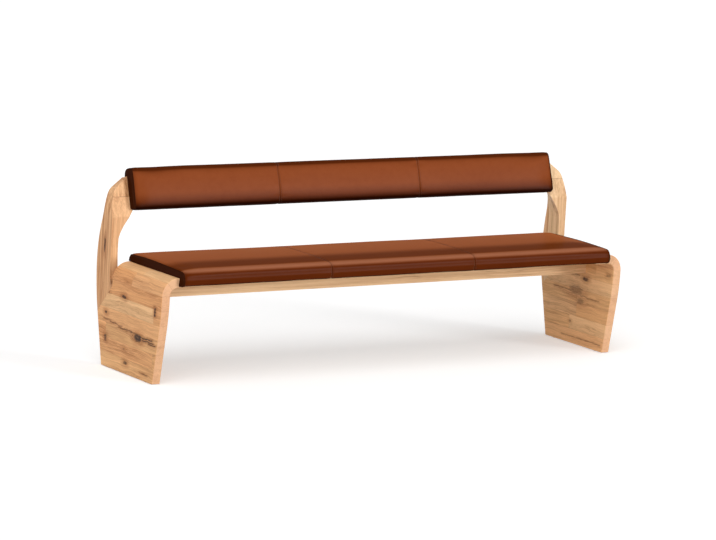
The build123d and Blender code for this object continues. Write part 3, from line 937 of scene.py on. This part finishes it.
def padding_mesh(name, half, inner_half, line, inners, padding, seams, lay_out):
    """A leather-covered pad swept along the bench, hollow underneath for what carries it."""
    hollow, filled = inners
    shape = bmesh.new()
    held_layer = shape.verts.layers.int.new("held")
    rings = []
    for place in stations_along(half, inner_half, padding.end_rounding, seams):
        from_end = (half - abs(place)) / padding.end_rounding
        curl = 1 - math.sqrt(max(0.0, 1 - max(0.0, 1 - from_end) ** 2))
        outer = line(padding, padding.end_draw_in * curl)
        forms = [hollow if abs(place) < inner_half - 1e-6 else filled]
        if abs(abs(place) - inner_half) < 1e-6:
            forms = [filled, hollow] if place < 0 else [hollow, filled]
        for inner in forms:
            points = outer + list(inner)
            rings.append([shape.verts.new(lay_out(place, *point)) for point in points])
    for near, far in zip(rings, rings[1:]):
        for number in range(len(near)):
            following = (number + 1) % len(near)
            shape.faces.new((near[number], near[following], far[following], far[number]))
    shape.faces.new(list(reversed(rings[0])))
    shape.faces.new(rings[-1])
    for ring in rings:
        for vertex in ring[len(outer):] + [ring[0], ring[len(outer) - 1]]:
            vertex[held_layer] = 1
    bmesh.ops.remove_doubles(shape, verts=shape.verts, dist=1e-5)
    bmesh.ops.dissolve_degenerate(shape, edges=shape.edges, dist=1e-6)
    caps = [face for face in shape.faces if len(face.verts) > 12]
    bmesh.ops.inset_region(shape, faces=caps, thickness=end_rim, use_even_offset=True)
    caps = [face for face in shape.faces if len(face.verts) > 12]
    bmesh.ops.triangulate(shape, faces=caps, ngon_method="BEAUTY")
    bmesh.ops.recalc_face_normals(shape, faces=shape.faces)
    mesh = bpy.data.meshes.new(name)
    shape.verts.index_update()
    held = [vertex.index for vertex in shape.verts if vertex[held_layer]]
    shape.to_mesh(mesh)
    shape.free()
    piece = bpy.data.objects.new(name, mesh)
    bpy.context.scene.collection.objects.link(piece)
    return piece, held


def rows_of(mesh, name):
    """One attribute of a mesh's points as rows of three numbers."""
    flat = np.zeros(len(mesh.vertices) * 3)
    mesh.vertices.foreach_get(name, flat)
    return flat.reshape(-1, 3)


def evened(mesh, values, held, rounds):
    """Average each point's value with its neighbours', with what is held left at nothing."""
    ends = np.zeros(len(mesh.edges) * 2, dtype=int)
    mesh.edges.foreach_get("vertices", ends)
    first, second = ends.reshape(-1, 2).T
    near = np.concatenate([first, second])
    far = np.concatenate([second, first])
    count = np.maximum(1, np.bincount(near, minlength=len(values)))
    values = values.copy()
    values[held] = 0.0
    for _ in range(rounds):
        around = np.bincount(near, weights=values[far], minlength=len(values)) / count
        values = 0.5 * values + 0.5 * around
        values[held] = 0.0
    return values


def place_points(mesh, points):
    """Write rows of three numbers back as a mesh's points."""
    mesh.vertices.foreach_set("co", points.astype(np.float32).ravel())
    mesh.update()


def inflate(piece, held, padding):
    """Let the foam press the leather out, with what is stapled held fast, and cap the swell."""
    group = piece.vertex_groups.new(name="stapled")
    group.add(held, 1.0, "REPLACE")
    start = rows_of(piece.data, "co")
    cloth = piece.modifiers.new("Leather", "CLOTH")
    cloth.settings.quality = 6
    cloth.settings.mass = 0.4
    cloth.settings.use_pressure = True
    cloth.settings.uniform_pressure_force = padding.pressure
    cloth.settings.effector_weights.gravity = 0.0
    cloth.settings.tension_stiffness = 40.0
    cloth.settings.compression_stiffness = 40.0
    cloth.settings.bending_stiffness = 4.0
    cloth.settings.vertex_group_mass = "stapled"
    cloth.point_cache.frame_start = 1
    cloth.point_cache.frame_end = pressing_steps
    for number in range(1, pressing_steps + 1):
        bpy.context.scene.frame_set(number)
    graph = bpy.context.evaluated_depsgraph_get()
    swollen = rows_of(piece.evaluated_get(graph).data, "co")
    piece.modifiers.remove(cloth)
    bpy.context.scene.frame_set(1)
    outward = rows_of(piece.data, "normal")
    rise = np.einsum("ij,ij->i", swollen - start, outward)
    rise = padding.swell * np.tanh(rise / padding.swell)
    rise = evened(piece.data, rise, held, evening_rounds)
    place_points(piece.data, start + outward * rise[:, None])


def settle(piece):
    """Turn what a piece's modifiers make of it into its own plain mesh."""
    graph = bpy.context.evaluated_depsgraph_get()
    made = bpy.data.meshes.new_from_object(piece.evaluated_get(graph), depsgraph=graph)
    piece.modifiers.clear()
    made.name = piece.name
    piece.data = made


def refine(piece):
    """One round of subdivision, kept as plain faces."""
    smooth = piece.modifiers.new("Smooth", "SUBSURF")
    smooth.levels = 1
    smooth.render_levels = 1
    settle(piece)


def sew(piece, seams):
    """Pull the leather in along its seams, with puckers beside them, and let it undulate."""
    mesh = piece.data
    points = rows_of(mesh, "co")
    path = points[:, 1] - points[:, 2]
    move = np.zeros(len(points))
    for seam in seams:
        away = np.abs(points[:, 0] - seam)
        move -= seam_pinch * np.exp(-((away / (0.3 * seam_reach)) ** 2)) * 0.75
        move -= seam_pinch * np.exp(-((away / (0.85 * seam_reach)) ** 2)) * 0.25
        wave = np.sin(path * 2 * math.pi / pucker_spacing + 3 * np.sin(path * 41 + seam * 7))
        fade = np.exp(-((away / pucker_reach) ** 2)) * np.minimum(1.0, away / 0.006)
        move += pucker_height * wave * fade
    drift = [noise.noise(Vector((x * 5.5, y * 9.0, z * 9.0))) for x, y, z in points]
    move += undulation * np.array(drift)
    place_points(mesh, points + rows_of(mesh, "normal") * move[:, None])


def seams_of(half):
    """The two seams that part a pad into three panels."""
    return (-half / 3, half / 3)


def lay_level(place, depth, height):
    """Places on the seat's section are places on the bench as they are."""
    return (place, depth, height)


def lay_back(lean):
    """Turn places on the back's own section into places on the bench."""
    sine, cosine = math.sin(lean), math.cos(lean)

    def laid(place, depth, rise):
        return (
            place,
            back_edge_depth + cosine * depth + sine * rise,
            back_edge_height - sine * depth + cosine * rise,
        )

    return laid


def line_normals(line):
    """Outward directions along a section's outer line."""
    points = np.array(line)
    ahead = np.gradient(points, axis=0)
    outward = np.stack([-ahead[:, 1], ahead[:, 0]], axis=1)
    return outward / np.linalg.norm(outward, axis=1, keepdims=True)


def trace_on(tree, place, line, lay_out, lift, first=0, last=None):
    """Points where a section's line, at one place along the bench, meets the finished pad."""
    found = []
    origin = Vector(lay_out(place, 0.0, 0.0))
    for point, outward in list(zip(line, line_normals(line)))[first:last]:
        direction = (Vector(lay_out(place, *outward)) - origin).normalized()
        start = Vector(lay_out(place, *point)) + direction * 0.03
        hit = tree.ray_cast(start, -direction, 0.06)[0]
        if hit is not None:
            found.append(hit + direction * lift)
    return found


def path_mesh(name, paths):
    """Open paths as chains of edges."""
    points = []
    edges = []
    for path in paths:
        start = len(points)
        points.extend(path)
        edges.extend((start + number, start + number + 1) for number in range(len(path) - 1))
    mesh = bpy.data.meshes.new(name)
    mesh.from_pydata(points, edges, [])
    piece = bpy.data.objects.new(name, mesh)
    bpy.context.scene.collection.objects.link(piece)
    return piece


class Recipe:
    """A Geometry Nodes tree in the making, with named inputs."""

    def __init__(self, name, inputs):
        self.tree = bpy.data.node_groups.new(name, "GeometryNodeTree")
        add_socket = self.tree.interface.new_socket
        add_socket(name="Paths", in_out="INPUT", socket_type="NodeSocketGeometry")
        self.identifiers = {}
        for label, kind in inputs:
            made = add_socket(name=label, in_out="INPUT", socket_type=kind)
            self.identifiers[label] = made.identifier
        add_socket(name="Result", in_out="OUTPUT", socket_type="NodeSocketGeometry")
        self.entry = self.tree.nodes.new("NodeGroupInput")

    def given(self, label):
        return next(socket for socket in self.entry.outputs if socket.name == label)

    def node(self, kind, settings=(), sockets=(), output=0):
        made = self.tree.nodes.new(kind)
        for name, setting in dict(settings).items():
            setattr(made, name, setting)
        for key, value in dict(sockets).items():
            if isinstance(value, bpy.types.NodeSocket):
                self.tree.links.new(value, made.inputs[key])
            else:
                made.inputs[key].default_value = value
        return made.outputs[output]

    def close(self, geometry, material):
        """Realise the copies, smooth them, give them their finish and end the tree."""
        real = self.node("GeometryNodeRealizeInstances", sockets={0: geometry})
        smooth = self.node("GeometryNodeSetShadeSmooth", sockets={0: real})
        finished = self.node("GeometryNodeSetMaterial", sockets={0: smooth, "Material": material})
        leave = self.tree.nodes.new("NodeGroupOutput")
        self.tree.links.new(finished, leave.inputs[0])

    def apply(self, piece, values):
        """Run the tree on a piece and keep the result as its plain mesh."""
        step = piece.modifiers.new(self.tree.name, "NODES")
        step.node_group = self.tree
        for label, value in values.items():
            step[self.identifiers[label]] = value
        settle(piece)


def stitch_recipe(material):
    """A row of stitches along each path."""
    kinds = (
        ("Stitch spacing", "NodeSocketFloat"),
        ("Stitch length", "NodeSocketFloat"),
        ("Thread width", "NodeSocketFloat"),
    )
    recipe = Recipe("Stitches", kinds)
    curve = recipe.node("GeometryNodeMeshToCurve", sockets={0: recipe.given("Paths")})
    spaced = recipe.node(
        "GeometryNodeResampleCurve",
        {"mode": "LENGTH"},
        {0: curve, "Length": recipe.given("Stitch spacing")},
    )
    ball = {"Segments": 7, "Rings": 5, "Radius": 0.5}
    stitch = recipe.node("GeometryNodeMeshUVSphere", sockets=ball)
    width, length = recipe.given("Thread width"), recipe.given("Stitch length")
    size = recipe.node("ShaderNodeCombineXYZ", sockets={0: width, 1: width, 2: length})
    shaped = recipe.node("GeometryNodeTransform", sockets={0: stitch, "Scale": size})
    tangent = recipe.node("GeometryNodeInputTangent")
    turned = recipe.node("FunctionNodeAlignRotationToVector", {"axis": "Z"}, {"Vector": tangent})
    sewn = {0: spaced, "Instance": shaped, "Rotation": turned}
    rows = recipe.node("GeometryNodeInstanceOnPoints", sockets=sewn)
    recipe.close(rows, material)
    return recipe


def welt_recipe(material):
    """A round welt along each path."""
    recipe = Recipe("Welt", (("Welt radius", "NodeSocketFloat"),))
    curve = recipe.node("GeometryNodeMeshToCurve", sockets={0: recipe.given("Paths")})
    round_section = {"Resolution": 8, "Radius": recipe.given("Welt radius")}
    ring = recipe.node("GeometryNodeCurvePrimitiveCircle", sockets=round_section)
    swept = {0: curve, "Profile Curve": ring, "Fill Caps": True}
    welt = recipe.node("GeometryNodeCurveToMesh", sockets=swept)
    recipe.close(welt, material)
    return recipe


def trim_pad(padding, leather, pad, line, lay_out, half, materials):
    """Stitches beside a pad's seams and welts round its end panels."""
    graph = bpy.context.evaluated_depsgraph_get()
    tree = BVHTree.FromObject(bpy.data.objects[f"{pad}_pad"], graph)
    rows = []
    for seam in seams_of(half):
        for side in sides:
            place = seam + side * leather.stitch_offset
            rows.append(trace_on(tree, place, line(padding, 0.0), lay_out, stitch_lift, 6, -2))
    stitches = path_mesh(f"{pad}_stitches", rows)
    values = {
        "Stitch spacing": leather.stitch_spacing,
        "Stitch length": leather.stitch_length,
        "Thread width": leather.thread_width,
    }
    thread, piping = materials
    stitch_recipe(thread).apply(stitches, values)
    end_line = line(padding, padding.end_draw_in * 0.22)
    ends = [
        trace_on(tree, side * (half - end_panel_reach), end_line, lay_out, welt_lift, 1, -1)
        for side in sides
    ]
    welts = path_mesh(f"{pad}_end_welts", ends)
    welt_recipe(piping).apply(welts, {"Welt radius": leather.welt_radius})
    for piece in (stitches, welts):
        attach(piece, "root")


# Stage: half the floor's width, its tone, how bright it shows, and where the photograph's
# camera stands, with its turn to the right, its tilt down and its roll in degrees
floor_reach = 90.0
floor_tone = (0.78, 0.78, 0.78, 1.0)
floor_glow = 0.38
white = (1.0, 1.0, 1.0, 1.0)
camera_place = (-9.6819, -14.7740, 3.4665)
camera_angles = (33.11, 9.85, 3.21)


# Operators: each makes one piece or one group of like pieces


class BENCH_OT_stage(bpy.types.Operator):
    """Set up the floor, the lamps, the room light and the camera"""

    bl_idname = "bench.stage"
    bl_label = "Stage and camera"

    def execute(self, context):
        stage = context.scene.bench_stage
        scene = context.scene

        mesh = bpy.data.meshes.new("stage_floor")
        turns = ((-1, -1), (1, -1), (1, 1), (-1, 1))
        corners = [(across * floor_reach, along * floor_reach, 0) for across, along in turns]
        mesh.from_pydata(corners, [], [(0, 1, 2, 3)])
        floor = bpy.data.objects.new("stage_floor", mesh)
        scene.collection.objects.link(floor)
        paint = Finish("stage_floor")
        seen, mirrored, through = (
            paint.node("ShaderNodeLightPath", output=ray) for ray in (0, 3, 6)
        )
        shown = seen.most(mirrored).most(through)
        matt = paint.node("ShaderNodeBsdfDiffuse", sockets={"Color": floor_tone})
        lit = {"Color": white, "Strength": shown * floor_glow}
        glow = paint.node("ShaderNodeEmission", sockets=lit)
        both = paint.node("ShaderNodeAddShader", sockets={0: matt, 1: glow})
        paint.node("ShaderNodeOutputMaterial", sockets={0: both})
        mesh.materials.append(paint.holder)

        air = Finish("studio_room", bpy.data.worlds)
        scene.world = air.holder
        seen, mirrored = (air.node("ShaderNodeLightPath", output=ray) for ray in (0, 3))
        shown = seen.most(mirrored)
        strength = stage.room_strength + shown * (1.0 - stage.room_strength)
        lit = {"Color": white, "Strength": strength}
        sky = air.node("ShaderNodeBackground", sockets=lit)
        air.node("ShaderNodeOutputWorld", sockets={0: sky})

        lamps = (
            ("front_lamp", (0.55, -0.81, 0.2), stage.front_strength, 18.0),
            ("top_lamp", (-0.35, -0.35, 0.87), stage.top_strength, 50.0),
            ("side_lamp", (-0.83, -0.53, 0.14), stage.side_strength, 40.0),
        )
        for name, direction, strength, spread in lamps:
            lamp = bpy.data.lights.new(name, "SUN")
            lamp.energy = strength
            lamp.angle = math.radians(spread)
            holder = bpy.data.objects.new(name, lamp)
            holder.matrix_world = Vector(direction).to_track_quat("Z", "Y").to_matrix().to_4x4()
            scene.collection.objects.link(holder)

        yaw, pitch, roll = (math.radians(angle) for angle in camera_angles)
        right = Vector((math.cos(yaw), -math.sin(yaw), 0.0))
        level = Vector((math.sin(yaw), math.cos(yaw), 0.0)) * math.cos(pitch)
        ahead = level - Vector((0.0, 0.0, math.sin(pitch)))
        upright = right.cross(ahead)
        across = math.cos(roll) * right + math.sin(roll) * upright
        upward = math.cos(roll) * upright - math.sin(roll) * right
        turn = Matrix((across, upward, -ahead)).transposed().to_4x4()
        eye = bpy.data.cameras.new("photo_camera")
        eye.lens = stage.focal_length
        eye.sensor_width = 36.0
        eye.sensor_fit = "HORIZONTAL"
        eye.clip_end = 300.0
        camera = bpy.data.objects.new("photo_camera", eye)
        camera.matrix_world = Matrix.Translation(camera_place) @ turn
        scene.collection.objects.link(camera)
        scene.camera = camera
        scene.view_settings.view_transform = "Standard"
        return {"FINISHED"}


class BENCH_OT_oak(bpy.types.Operator):
    """Finish the legs, the arms, the rails and the battens in oak"""

    bl_idname = "bench.oak"
    bl_label = "Oak legs, arms and rails"

    def execute(self, context):
        oak = context.scene.bench_oak
        rails, battens = rail_oak(oak), batten_oak(oak)
        for side, name in zip(sides, ("left", "right")):
            leg = leg_oak(oak, side)
            staves = (f"stave_{number + 1}" for number in range(stave_count))
            for part in ("corner", "wing", *staves):
                dress(f"{name}_leg_{part}", leg)
            dress(f"{name}_arm", arm_oak(oak, side))
        for node in ("front_rail", "rear_rail", "seat_nose_batten"):
            dress(node, rails)
        for number in range(batten_count):
            dress(f"cross_batten_{number + 1}", battens)
        return {"FINISHED"}


class BENCH_OT_hidden(bpy.types.Operator):
    """Finish the boards, brackets, screws, dowels and glides that lie out of sight"""

    bl_idname = "bench.hidden"
    bl_label = "Boards, hardware and glides"

    def execute(self, context):
        ply, zinc, beech, felt = ply_finish(), zinc_finish(), beech_finish(), felt_finish()
        for node in ("seat_board", "back_board", "back_roll_core"):
            dress(node, ply)
        for node in ("arm_bolts", "bracket_screws", "batten_screws", "seat_screws"):
            dress(node, zinc)
        for side in ("left", "right"):
            for end in ("front", "rear"):
                dress(f"{side}_{end}_bracket", zinc)
            for joint in ("arm", "corner"):
                dress(f"{side}_{joint}_dowels", beech)
            dress(f"{side}_felt_glides", felt)
        return {"FINISHED"}


class BENCH_OT_seat(bpy.types.Operator):
    """Make the seat: three leather panels over foam, with a lip that hangs over the front"""

    bl_idname = "bench.seat"
    bl_label = "Seat pad"

    def execute(self, context):
        padding, leather = context.scene.bench_padding, context.scene.bench_leather
        half = seat_high.x
        seams = seams_of(half)
        hollow = (
            (board_high.y, board_low.z),
            (board_high.y, board_high.z),
            (nose_low.y, board_high.z),
            (nose_low.y, nose_low.z),
            (board_low.y, nose_low.z),
        )
        filled = (
            (board_high.y, board_low.z),
            (board_high.y, board_low.z),
            (board_low.y, board_low.z),
            (board_low.y, nose_low.z),
            (board_low.y, nose_low.z),
        )
        pad, held = padding_mesh(
            "seat_pad", half, board_high.x, seat_line, (hollow, filled), padding, seams, lay_level
        )
        inflate(pad, held, padding)
        refine(pad)
        sew(pad, seams)

        hide = leather_finish("seat_leather", leather, seams, half - end_panel_reach, seat_painted_light)
        pad.data.materials.append(hide)
        pad.data.shade_smooth()
        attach(pad, "root")
        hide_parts("seat_cushion")
        return {"FINISHED"}


class BENCH_OT_back(bpy.types.Operator):
    """Make the leaning back: three leather panels over foam, with a roll over the arm tips"""

    bl_idname = "bench.back"
    bl_label = "Back pad"

    def execute(self, context):
        padding, leather = context.scene.bench_padding, context.scene.bench_leather
        half = back_high.x
        seams = seams_of(half)
        hollow = (
            (back_hollow_rear, back_open_rise),
            (back_hollow_rear, back_hollow_top),
            (back_hollow_front, back_hollow_top),
            (back_hollow_front, back_hollow_foot),
            (0.0, back_hollow_foot),
        )
        filled = (
            (back_hollow_rear, back_open_rise),
            (back_hollow_rear, back_open_rise),
            (0.0, back_open_rise),
            (0.0, back_hollow_foot),
            (0.0, back_hollow_foot),
        )
        lay_out = lay_back(padding.lean)
        pad, held = padding_mesh(
            "back_pad", half, core_high.x, back_line, (hollow, filled), padding, seams, lay_out
        )
        inflate(pad, held, padding)
        refine(pad)
        sew(pad, seams)

        hide = leather_finish("back_leather", leather, seams, half - end_panel_reach, back_painted_light)
        pad.data.materials.append(hide)
        pad.data.shade_smooth()
        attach(pad, "root")
        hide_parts("back_cushion")
        cover = leather_finish("cover_leather", leather)
        dress("back_rear_cover", cover)
        return {"FINISHED"}


class BENCH_OT_sewing(bpy.types.Operator):
    """Sew the stitches beside the seams and the welts round the end panels"""

    bl_idname = "bench.sewing"
    bl_label = "Stitches and welts"

    def execute(self, context):
        padding, leather = context.scene.bench_padding, context.scene.bench_leather
        materials = (
            thread_finish(leather),
            leather_finish("welt_leather", leather, end_place=0.5),
        )
        trim_pad(padding, leather, "seat", seat_line, lay_level, seat_high.x, materials)
        trim_pad(
            padding, leather, "back", back_line, lay_back(padding.lean), back_high.x, materials
        )
        return {"FINISHED"}


class BENCH_PT_parts(bpy.types.Panel):
    """Lists the bench's steps in the order in which they are made"""

    bl_label = "Dining Bench"
    bl_idname = "BENCH_PT_parts"
    bl_space_type = "VIEW_3D"
    bl_region_type = "UI"
    bl_category = "Bench"

    def draw(self, context):
        for group in ("bench_oak", "bench_leather", "bench_padding", "bench_stage"):
            settings = getattr(context.scene, group)
            box = self.layout.box()
            for name in settings.__annotations__:
                box.prop(settings, name)
        for step in steps:
            self.layout.operator(step.bl_idname)


settings_groups = {
    "bench_oak": BenchOakSettings,
    "bench_leather": BenchLeatherSettings,
    "bench_padding": BenchPaddingSettings,
    "bench_stage": BenchStageSettings,
}
steps = (
    BENCH_OT_stage,
    BENCH_OT_oak,
    BENCH_OT_hidden,
    BENCH_OT_seat,
    BENCH_OT_back,
    BENCH_OT_sewing,
)


def register():
    """Register the settings, the steps and the panel."""
    for group in settings_groups.values():
        bpy.utils.register_class(group)
    for name, group in settings_groups.items():
        setattr(bpy.types.Scene, name, bpy.props.PointerProperty(type=group))
    for step in steps:
        bpy.utils.register_class(step)
    bpy.utils.register_class(BENCH_PT_parts)


def unregister():
    """Take back what register added."""
    bpy.utils.unregister_class(BENCH_PT_parts)
    for step in reversed(steps):
        bpy.utils.unregister_class(step)
    for name, group in settings_groups.items():
        delattr(bpy.types.Scene, name)
        bpy.utils.unregister_class(group)


def main():
    """Make the whole bench."""
    register()
    for step in steps:
        group, name = step.bl_idname.split(".")
        getattr(getattr(bpy.ops, group), name)()


if __name__ == "__main__":
    main()
